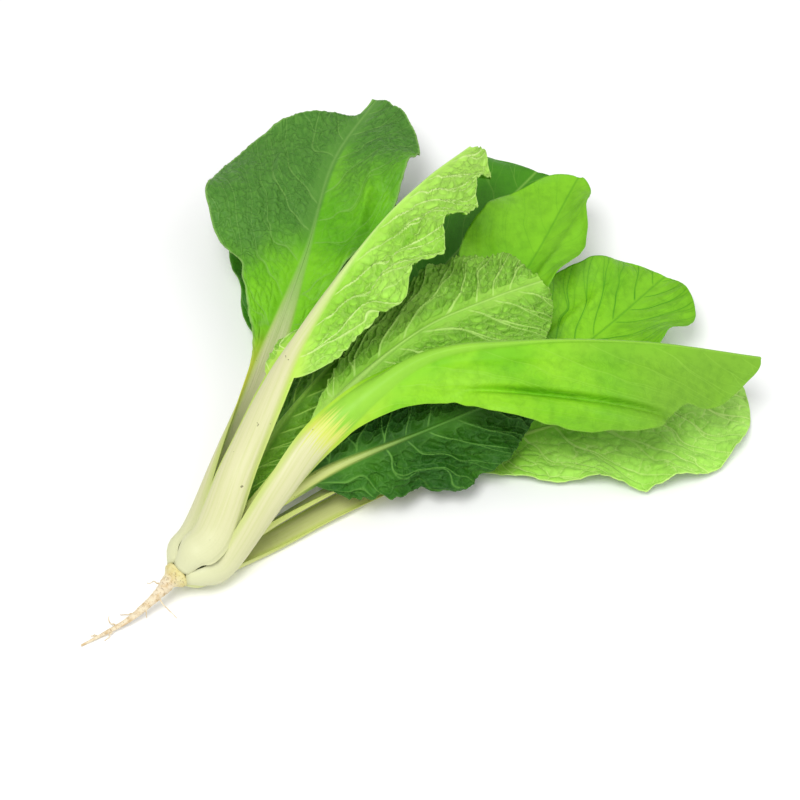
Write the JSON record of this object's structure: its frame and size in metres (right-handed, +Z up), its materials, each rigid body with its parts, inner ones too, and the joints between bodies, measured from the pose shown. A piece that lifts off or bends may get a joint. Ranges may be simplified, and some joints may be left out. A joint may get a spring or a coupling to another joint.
{
  "type": "bok choy",
  "caption": "Young loose-leaf bok choy lying on its side as picked, with ivory stalks, waved green leaves, crown and taproot.",
  "frame": {"origin": "middle of the bounding box's lowest face, on the surface that the head lies on", "axes": "+X from the crown towards the leaf tips, +Y to the left across the fan of leaves, +Z up"},
  "size_m": [0.3448, 0.296, 0.0908],
  "materials": {
    "leaf_blade": "fresh green leaf with a soft waxy sheen, raised pale veins and a darker inner face",
    "leaf_stalk": "firm ivory stalk with yellow-green margins and fine lengthwise ribs, slightly glossy",
    "root": "matte tan skin with dark streaks and specks"
  },
  "bodies": {
    "root": {"crown_root": "root", "floor_right_stalk": "leaf_stalk", "floor_right_blade": "leaf_blade", "floor_left_stalk": "leaf_stalk", "floor_left_blade": "leaf_blade", "back_right_stalk": "leaf_stalk", "back_right_blade": "leaf_blade", "back_left_stalk": "leaf_stalk", "back_left_blade": "leaf_blade", "back_middle_stalk": "leaf_stalk", "back_middle_blade": "leaf_blade", "broad_left_stalk": "leaf_stalk", "broad_left_blade": "leaf_blade", "heart_dark_stalk": "leaf_stalk", "heart_dark_blade": "leaf_blade", "dark_right_stalk": "leaf_stalk", "dark_right_blade": "leaf_blade", "heart_bud_stalk": "leaf_stalk", "heart_bud_blade": "leaf_blade", "crinkled_stalk": "leaf_stalk", "crinkled_blade": "leaf_blade", "folded_right_stalk": "leaf_stalk", "folded_right_blade": "leaf_blade", "top_stalk_stalk": "leaf_stalk", "top_stalk_blade": "leaf_blade"}
  },
  "joints": []
}
